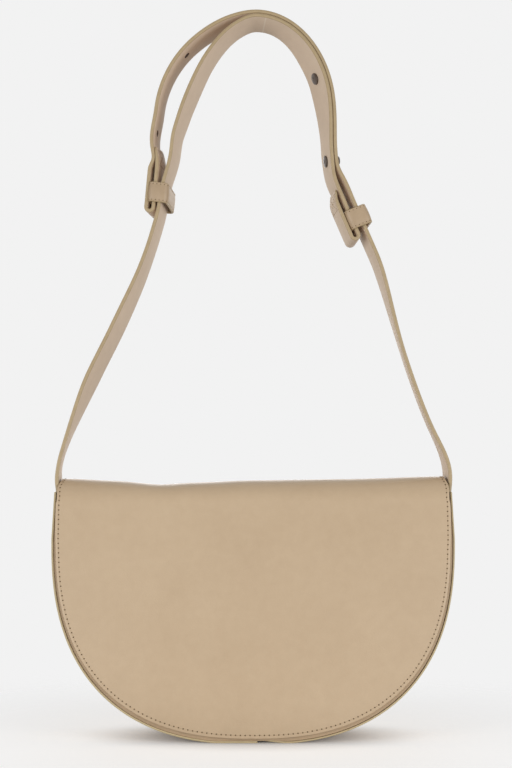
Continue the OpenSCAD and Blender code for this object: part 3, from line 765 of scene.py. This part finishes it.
# Dark leather for the walls of the strap's punched holes: painted shade inside the holes.
hole_shade_leather = leather("hole_shade_leather", tone(74, 56, 44), tone(92, 72, 56), 0.7)
STEP = 2.5


def stations(start, end):
    count = max(2, round(abs(end - start) / STEP))
    return [start + (end - start) * i / count for i in range(count + 1)]


def make_band(side, name, start, fold_at, end, q, tail_q, twist, holes):
    """Makes a band from its sewn end over the arch and through its fold to the tail's end."""
    sections = (sewn_end(side) + [section(s, q(s), twist) for s in stations(start, fold_at)]
                + fold(fold_at, q(fold_at), tail_q(fold_at), -side)
                + [tail_section(s, tail_q(s), end) for s in stations(fold_at, end)])
    band = loft("strap_" + name + "_band", sections, *band_profile(STRAP_T, STRAP_W))
    dress(band, strap_leather, paint)
    punch(band, holes)
    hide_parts("strap_" + name, "strap_end_" + name)
    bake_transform(band)


left_end, right_end = RIGHT_AT - LEFT_TAIL, LEFT_AT + RIGHT_TAIL
hole_places = [RIGHT_AT - STUD_UP - k * HOLE_PITCH for k in range(5)]
make_band(-1, "left", ROUTE_TRIM, RIGHT_AT + FOLD_DROP, left_end, left_q, left_tail_q,
          LEFT_TWIST, hole_places[:2])
make_band(1, "right", route.length - ROUTE_TRIM, LEFT_AT - FOLD_DROP, right_end, right_q,
          right_tail_q, RIGHT_TWIST, hole_places)


# Keepers: short leather loops, stitched along both edges, that slide on the doubled strap. They
# are lightly padded between their seams, and the left one hangs a little askew.
KEEPER_SEAM, OUTER_ROUND, INNER_ROUND, LOOP_STEP = KEEPER_H / 2 - 1.4, 2.2, 3.0, 1.5


def keeper(name, s, slack, loose, askew, droop):
    """Makes a keeper with some slack inside the arch and some looseness outside, which may hang
    askew and droop. Returns its two seams, as points with their outward normals."""
    middle, inward, back, run = spot(s)
    low = -LAYER_GAP - STRAP_T - CLEAR - loose - KEEPER_T / 2
    high = STRAP_T + slack + CLEAR + KEEPER_T / 2
    side = STRAP_W / 2 + CLEAR + KEEPER_T / 2
    corners = [(high, side, 0, INNER_ROUND), (low, side, 90, OUTER_ROUND),
               (low, -side, 180, OUTER_ROUND), (high, -side, 270, INNER_ROUND)]
    rounds = []
    for x, y, start, r in corners:
        x, y = x - math.copysign(r, x), y - math.copysign(r, y)
        for t in (math.radians(start + 10 * i) for i in range(10)):
            rounds.append((x + r * math.cos(t), y + r * math.sin(t), t))
    loop = []
    for (x, y, t), (next_x, next_y, _) in zip(rounds, rounds[1:] + rounds[:1]):
        steps = max(1, round(math.hypot(next_x - x, next_y - y) / LOOP_STEP))
        loop += [(x + (next_x - x) * i / steps, y + (next_y - y) * i / steps, t)
                 for i in range(steps)]
    placed = [(middle + inward * x + back * y - run * (askew * (x - low) + droop * (y + side)),
               inward * math.cos(t) + back * math.sin(t), run) for x, y, t in loop]
    half, t = KEEPER_H / 2, KEEPER_T / 2
    rim = [(t + 0.22, half * 0.35), (t + 0.05, KEEPER_SEAM - 0.9), (t - 0.16, KEEPER_SEAM),
           (t - 0.02, half - 0.55), (t * 0.5, half - 0.08), (0, half), (-t * 0.5, half - 0.08),
           (-t, half - 0.55)]
    profile = [(t + 0.25, 0)] + rim + [(-t, 0)] + [(x, -y) for x, y in reversed(rim)]
    slots = [0] * 4 + [1] * 4 + [0] * 2 + [1] * 4 + [0] * 4
    piece = loft(name + "_loop", placed, profile, slots, close=True)
    dress(piece, keeper_leather, paint)
    settle(piece, "strap_leather", name, name)
    return [[(m + n * (t - 0.1) + w * z, n) for m, n, w in placed + placed[:1]]
            for z in (-KEEPER_SEAM, KEEPER_SEAM)]


keeper_leather = leather("keeper_leather", tone(172, 148, 119), tone(190, 166, 136), 0.44)
left_seams = keeper("keeper_left", LEFT_AT, LEFT_SLACK, 0.7, 0.05, 0.09)
right_seams = keeper("keeper_right", RIGHT_AT, RIGHT_SLACK, 2.8, 0.0, 0.0)


# Studs: two dark screwed studs hold the bands together at the right. A low head shows outside,
# and a slotted disc lies on the inside of the arch.
STUD_STANDS, POST_SHORT = 0.25, 0.6
gunmetal = metal("gunmetal", tone(84, 74, 68), tone(112, 101, 93), 0.34)


def stud_stand(s, q):
    middle, inward, back, run = spot(s)
    return (Matrix.Translation((middle + inward * q) * MM)
            @ Matrix((back, run, inward)).transposed().to_4x4())


heads, discs = [], []
for s in hole_places[:2]:
    outer = right_q(s) - STRAP_T / 2 - STUD_STANDS
    inner = left_q(s) + STRAP_T / 2 + STUD_STANDS
    post = inner - outer - POST_SHORT
    heads.append(turned("stud_head", [
        (0, -3.9), (1.4, -3.8), (2.5, -3.4), (3.1, -2.7), (3.1, -2.2), (2.5, -1.5), (1.9, -1),
        (1.9, -0.6), (3.3, -0.5), (3.4, -0.1), (3.2, 0), (2, 0), (2, post), (0, post)],
        stud_stand(s, outer), gunmetal))
    discs.append(turned("stud_disc", [
        (0, -0.3), (1.6, -0.3), (1.6, 0), (3.9, 0), (4, 0.2), (3.9, 0.8), (3.3, 1.1), (1.5, 1.2),
        (1.2, 0.95), (0, 0.8)], stud_stand(s, inner), gunmetal))
for name, node, pieces in (("stud_heads", "strap_studs", heads),
                           ("stud_discs", "stud_screws", discs)):
    select_only(*pieces)
    bpy.ops.object.join()
    pieces[0].name = pieces[0].data.name = name
    settle(pieces[0], "stud_metal", "strap", node)


# Flap: one piece of leather, sewn to the back panel, that rolls over the mouth and covers the
# front. A foam-backed lining with a board in it lies inside, and both edges are painted as one.
# Half its width, its drop below the waist, how far its front stands off the panel, and how much
# its sides draw in below the roll
FLAP_HALF, FLAP_BOTTOM, FLAP_OUT, FLAP_DRAWN = 130.7, 129.1, 3.7, 1.3
# The roll's radius, middle and half width, and the height at which it meets the front
ROLL_R, ROLL_Y, ROLL_Z, ROLL_HALF = 17.0555, -1.86203, 154.945, 126.5
TANGENT_Z = ROLL_Z + ROLL_R * math.sin(SLOPE)
# The skin and the lining, how far the skin stands off the back and how low it ends there, the
# foam's crown, and the height from which the front eases into the roll
SKIN, CORE, BACK_OUT, ANCHOR_LOW, CROWN, EASE_Z = 1.4, 1.8, 1.5, 128.0, 1.9, 120.0
# Turns of the roll, in degrees, where it rises onto the back and where skin and lining widen
LIFTED, SKIN_DRAWN, LINING_DRAWN = (45, 5), (100, 146), (142, 157)
FRONT_END, ROLL_END = 0.62, 0.9  # shares of the flap's rows


def crown(x, z):
    """The foam behind the leather makes the flap's middle stand proud of its edges."""
    share = (abs(x) / FLAP_HALF) ** MOON_POWER
    share += (max(0.0, WAIST - z) / FLAP_BOTTOM) ** MOON_POWER
    return CROWN * max(0.0, 1 - share) ** 0.7 * (1 - ramp(z, EASE_Z, TANGENT_Z))


# How far the unstiffened roll has sunk at these places across the flap
SAG = [(-121, 1.2), (-92, 2.5), (-61, 5), (-40, 3.7), (0, 2.2), (65, 1.3), (122, -0.4)]


def wave(x):
    """How far the roll has sunk there."""
    sunk = SAG[0][1]
    for (near, before), (far, after) in zip(SAG, SAG[1:]):
        share = min(1.0, max(0.0, (x - near) / (far - near)))
        sunk += (after - before) * (share + ramp(share, 0, 1)) / 2
    return sunk


def roll_point(x, degrees, inset):
    turn = math.radians(degrees)
    radius = ROLL_R + BACK_OUT * ramp(degrees, *LIFTED) - inset
    radius -= wave(x) * max(0.0, math.sin(turn)) ** 2
    return Vector((x, ROLL_Y + radius * math.cos(turn), ROLL_Z + radius * math.sin(turn)))


def front_point(x, z, inset, foam=1):
    return Vector((x, face_y(-1, z, inset - FLAP_OUT) - foam * crown(x, z), z))


def roll_half(turn, drawn, trim):
    """Half width of the roll, which draws in where it passes between the strap's ends."""
    return ROLL_HALF + (FLAP_HALF - tuck(EAR) - ROLL_HALF) * ramp(turn, *drawn) - trim


def drawn_in(x, z):
    """The flap's sides draw in a little below the roll."""
    return x * (1 - FLAP_DRAWN / FLAP_HALF * (1 - ramp(z, EASE_Z, TANGENT_Z))), z


def place_flap(u, v, inset, trim, drawn, low_turn, foam):
    """A layer of the flap: its front, its roll down to low_turn, and the strip on the back."""
    across = spread(u)
    if v < FRONT_END:
        z, half = moon_row(v / FRONT_END, FLAP_HALF - trim, FLAP_BOTTOM - trim,
                           WAIST - FLAP_BOTTOM + trim, TANGENT_Z)
        half, z = drawn_in(half, z)
        return front_point(half * across, z, inset, foam)
    if v < ROLL_END:
        turn = 180 - math.degrees(SLOPE)
        turn += (low_turn - turn) * (v - FRONT_END) / (ROLL_END - FRONT_END)
        return roll_point(roll_half(turn, drawn, trim) * across, turn, inset)
    bottom = roll_point(0, low_turn, inset)
    z = bottom.z + (ANCHOR_LOW - bottom.z) * (v - ROLL_END) / (1 - ROLL_END)
    return Vector(((ROLL_HALF - trim) * across, face_y(1, z, inset - BACK_OUT), z))


flap_leather = leather("flap_leather", tone(191, 166, 135), tone(202, 178, 147), 0.4, 0.2)
skin = grid_piece("flap_skin_leather", 64, 150,
                  lambda u, v: place_flap(u, v, 0, 0, SKIN_DRAWN, 5, 1), (0, -1, 0))
thicken(skin, SKIN, flap_leather, paint, 0.5)
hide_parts("flap_skin")
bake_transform(skin)


def suede():
    finish = Finish("flap_suede", Roughness=0.95, Sheen_Weight=0.3)
    nap = finish.noise(0.0005, 4.0)
    finish.feed("Base Color", finish.mix(nap * 0.7 + finish.noise(0.02) * 0.3,
                                         tone(158, 136, 108), tone(188, 166, 136)))
    finish.bump(nap, 0.0002)
    return finish.look


lining = grid_piece("flap_lining_suede", 64, 140,
                    lambda u, v: place_flap(u, v * ROLL_END, SKIN + 0.05, 0.15,
                                            LINING_DRAWN, 16, 0), (0, -1, 0))
thicken(lining, CORE - 0.1, suede(), paint, 0.3)
settle(lining, "lining", "flap", "flap_lining")


# Stitching: waxed thread through punched holes, about 3 mm apart, round the flap, both panels,
# the flap's seam on the back, the keepers and the strap's ends. The holes are drawn as dark
# discs: painted shade.
def plain(name, dark, light, roughness, size, detail=2.0, height=0.0):
    """Patches of two tones of this size, which stand up from the surface by this height."""
    finish = Finish(name, Roughness=roughness)
    patches = finish.noise(size, detail)
    finish.feed("Base Color", finish.mix(patches, dark, light))
    if height:
        finish.bump(patches, height)
    return finish.look


thread = plain("thread", tone(176, 152, 120), tone(206, 183, 150), 0.6, 0.0003, 3.0, 0.00005)
# Dark discs at the stitches' ends: painted shade of the needle holes.
needle_hole_shade = plain("needle_hole_shade", tone(88, 68, 46), tone(112, 90, 62), 0.9, 0.0005)
# Rings of a stitch: place along it, width, and height, in shares of its length and thickness
RINGS = [(-0.5, 0.3, -0.9), (-0.38, 0.8, -0.4), (0, 1, -0.2), (0.38, 0.8, -0.4), (0.5, 0.3, -0.9)]
THREAD_SIDES, HOLE_SIDES, HOLE_TOP, HOLE_FLOOR, SEAM_POINTS = 6, 8, 0.08, -0.17, 400


def circle(middle, first, second, radius, sides):
    """Points round a middle, from the first direction towards the second."""
    turns = [2 * math.pi * k / sides for k in range(sides)]
    return [middle + (first * math.cos(t) + second * math.sin(t)) * radius for t in turns]


def tube_faces(base, rings, sides):
    """Faces round and across both ends of a tube, whose rings of points start at base."""
    last = base + (rings - 1) * sides
    faces = [tuple(start + k for k in range(sides)) for start in (base, last)]
    for start in range(base, last, sides):
        for k in range(sides):
            near, far = start + k, start + (k + 1) % sides
            faces.append((near, near + sides, far + sides, far))
    return faces


def stitches(name, seams, body, slot, pitch=3.4, thick=0.28, hole=0.55):
    """Stitches along seams, each a list of points with their outward normals, in millimetres."""
    points, faces, kinds = [], [], []
    for seam in seams:
        line, normals = Line([p for p, _ in seam]), [n for _, n in seam]
        count = max(1, round(line.length / pitch))
        for i in range(count):
            distance = line.length * (i + 0.5) / count
            middle, along = line.at(distance)
            at = min(bisect.bisect_right(line.reach, distance), len(normals) - 1)
            out = (normals[at] - along * normals[at].dot(along)).normalized()
            across = along.cross(out)
            faces += tube_faces(len(points), len(RINGS), THREAD_SIDES)
            for x, width, height in RINGS:
                points += circle(middle + along * (x * (pitch - 2 * hole)) + out * (thick * height),
                                 across, out, thick * width, THREAD_SIDES)
            kinds += [0] * (len(faces) - len(kinds))
            # A dark disc over each needle hole, just proud of the surface: painted shade.
            faces += tube_faces(len(points), 2, HOLE_SIDES)
            middle, _ = line.at(distance + pitch / 2)
            for height in (HOLE_TOP, HOLE_FLOOR):
                points += circle(middle + out * height, along, across, hole, HOLE_SIDES)
            kinds += [1] * (len(faces) - len(kinds))
    piece = new_piece(name, points, [], faces)
    piece.data.polygons.foreach_set("material_index", kinds)
    outside(piece)
    bpy.ops.object.shade_smooth_by_angle(angle=math.radians(50))
    dress(piece, thread, needle_hole_shade)
    settle(piece, slot, body)


def flap_seam_point(x, z):
    ahead = front_point(x, z + 0.5, 0) - front_point(x, z - 0.5, 0)
    aside = front_point(x + 0.5, z, 0) - front_point(x - 0.5, z, 0)
    out = aside.cross(ahead).normalized()
    return front_point(x, z, 0), out if out.y < 0 else -out


SIDE_SEAM, LOW_SEAM, PANEL_SEAM, ANCHOR_SEAM = 1.8, 2.1, 3.4, 3.0
flap_line = Line([drawn_in(*p) for p in moon_line(FLAP_HALF - SIDE_SEAM, FLAP_BOTTOM - LOW_SEAM, 0,
                                                  TANGENT_Z).points])
flap_seam = [flap_seam_point(*p) for p in flap_line.spaced(SEAM_POINTS)]
roll_seams = [[(roll_point(side * roll_half(turn, SKIN_DRAWN, SIDE_SEAM), turn, 0),
                Vector((0, math.cos(math.radians(turn)), math.sin(math.radians(turn)))))
               for turn in range(170, 38, -4)] for side in (-1, 1)]
stitches("flap_stitching", [roll_seams[0][::-1] + flap_seam + roll_seams[1]], "flap",
         "flap_leather", 3.12, 0.26, 0.5)
for name, seams in (("keeper_left", left_seams), ("keeper_right", right_seams)):
    stitches(name + "_stitching", seams, name, "strap_leather", 2.6, 0.22, 0.3)


# How far the box of stitches lies inside a tail's end, half its width, and its length
BOX_IN, BOX_HALF, BOX_LEN = 2.0, 9.5, 11.0


def tail_box(end, q, way):
    """A square with a cross in it, which sews a tail to its band."""
    near, far = end + way * BOX_IN, end + way * (BOX_IN + BOX_LEN)
    corners = [(near, -BOX_HALF), (near, BOX_HALF), (far, BOX_HALF), (far, -BOX_HALF)]
    seams = []
    for a, b in ((0, 1), (1, 2), (2, 3), (3, 0), (0, 2), (1, 3)):
        seam = []
        for s, y in Line([corners[a], corners[b]]).spaced(8):
            middle, inward, back, _ = spot(s)
            lift = q(s) + (pared(abs(s - end)) - 0.5) * STRAP_T
            seam.append((middle + inward * lift + back * y, inward))
        seams.append(seam)
    return seams


stitches("tail_stitching", tail_box(left_end, left_tail_q, 1)
         + tail_box(right_end, right_tail_q, -1), "strap", "strap_leather", 2.8, 0.2, 0.3)

panel_line = moon_line(HALF - GUSSET - PANEL_SEAM, MOON_LOW - GUSSET - PANEL_SEAM,
                       GUSSET + PANEL_SEAM, MOUTH - 2)
for side, name in SIDES:
    out = Vector((0, side * math.cos(SLOPE), math.sin(SLOPE)))
    seam = [(Vector((x, face_y(side, z), z)), out) for x, z in panel_line.spaced(SEAM_POINTS)
            if side < 0 or z < ANCHOR_LOW - 2 or abs(x) > ROLL_HALF + 1]
    stitches(name + "_panel_stitching", [seam], "root", "body_leather")

back_out = Vector((0, math.cos(SLOPE), math.sin(SLOPE)))
anchor_z = ANCHOR_LOW + ANCHOR_SEAM
anchor = [(Vector((x, face_y(1, anchor_z, -BACK_OUT), anchor_z)), back_out)
          for x in range(-123, 124, 3)]
stitches("flap_anchor_stitching", [anchor], "root", "flap_leather")

ear_seams = []
for side in (-1, 1):
    out = Vector((side, 0, 0))
    box = [(-9, EAR - 4), (-9, EAR - 32), (9, EAR - 32), (9, EAR - 4)]
    ear_seams += [[(Vector((side * (HALF - tuck(z)), y, z)), out) for y, z in Line(run).spaced(10)]
                  for run in zip(box, box[1:])]
stitches("ear_stitching", ear_seams, "root", "gusset_leather")


# Studio: a pale floor that keeps the contact shadow and fades into the white surround, large
# soft lights at both sides in front, two small ones that lend the flap's sides their sheen, a
# fill behind, and the camera level with the strap's legs. In metres. Under the bag the floor's
# glow is taken away, a painted shadow that deepens the contact shadow.
# The floor's radius and where it fades out; where its glow comes back round the bag, and the share
# by which X is shortened, so that this painted shadow reaches further along X
FLOOR_R, FLOOR_ENDS, PAINTED_SHADOW_ENDS, PAINTED_SHADOW_SHARE = 0.55, (0.13, 0.36), (0.02, 0.075), 0.6
FLOOR_GLOW, SURROUND_LIGHT, SURROUND = 0.41, 0.37, tone(242, 242, 242)


def studio_floor():
    """The floor glows a little for the camera, so that it is as pale as the surround. Under the
    bag the glow is taken away: painted shadow that deepens the floor's own contact shadow."""
    finish = Finish("studio_floor", Roughness=1.0, Specular_IOR_Level=0.0)
    place = finish.place()
    away = finish.node("ShaderNodeVectorMath", {"operation": "LENGTH"}, (place,), 1)
    finish.feed("Base Color", finish.mix(finish.noise(0.3), SURROUND, tone(244, 244, 244)))
    near = finish.node("ShaderNodeVectorMath", {"operation": "MULTIPLY"},
                       (place, (PAINTED_SHADOW_SHARE, 1, 1)))
    near = finish.node("ShaderNodeVectorMath", {"operation": "LENGTH"}, (near,), 1)
    # No glow close round the bag: painted contact shadow.
    glow_outside_painted_shadow = finish.fade(near, *PAINTED_SHADOW_ENDS, 0.0, 1.0)
    glow_outside_painted_shadow *= finish.node("ShaderNodeLightPath", output="Is Camera Ray")
    finish.feed("Emission Color", finish.mix(glow_outside_painted_shadow, tone(0, 0, 0), tone(255, 255, 255)))
    finish.shader.inputs["Emission Strength"].default_value = FLOOR_GLOW
    finish.feed("Alpha", finish.fade(away, *FLOOR_ENDS, 1.0, 0.0))
    return finish.look


deselect()
bpy.ops.mesh.primitive_circle_add(vertices=96, radius=FLOOR_R, fill_type="NGON")
floor = bpy.context.object
floor.name = "floor"
dress(floor, studio_floor())

surround = Finish("surround", "worlds", "Background", Color=SURROUND)
rays = [surround.node("ShaderNodeLightPath", output=kind)
        for kind in ("Is Camera Ray", "Is Glossy Ray")]
shown = surround.node("ShaderNodeMath", {"operation": "ADD", "use_clamp": True}, rays)
surround.feed("Strength", surround.node("ShaderNodeMapRange", {}, {
    "Value": shown, "To Min": SURROUND_LIGHT, "To Max": 1.0}))
bpy.context.scene.world = surround.look

aim = Vector((0, 0, 0.12))
for name, place, size, power in (
        ("key_left", (-1.45, -1.25, 0.3), 1.1, 14.8),
        ("key_right", (1.45, -1.25, 0.3), 1.1, 15.5),
        ("sheen_left", (-0.55, -1.55, 0.2), 0.4, 1.3),
        ("sheen_right", (0.55, -1.55, 0.2), 0.4, 1.4),
        ("back_fill", (0.0, 1.8, 0.5), 1.2, 9.0)):
    deselect()
    bpy.ops.object.light_add(type="AREA", location=place)
    lamp = bpy.context.object
    lamp.name = name
    lamp.data.shape, lamp.data.size, lamp.data.energy = "SQUARE", size, power
    lamp.rotation_euler = (aim - lamp.location).to_track_quat("-Z", "Y").to_euler()

camera = bpy.data.objects.new("camera", bpy.data.cameras.new("camera"))
bpy.context.scene.collection.objects.link(camera)
camera.location = (0.0019, -1.5, 0.2338)
camera.rotation_euler = (math.radians(90), 0, 0)
camera.data.lens, camera.data.sensor_width = 105.6, 36.0
bpy.context.scene.camera = camera
bpy.context.scene.view_settings.view_transform = "Standard"
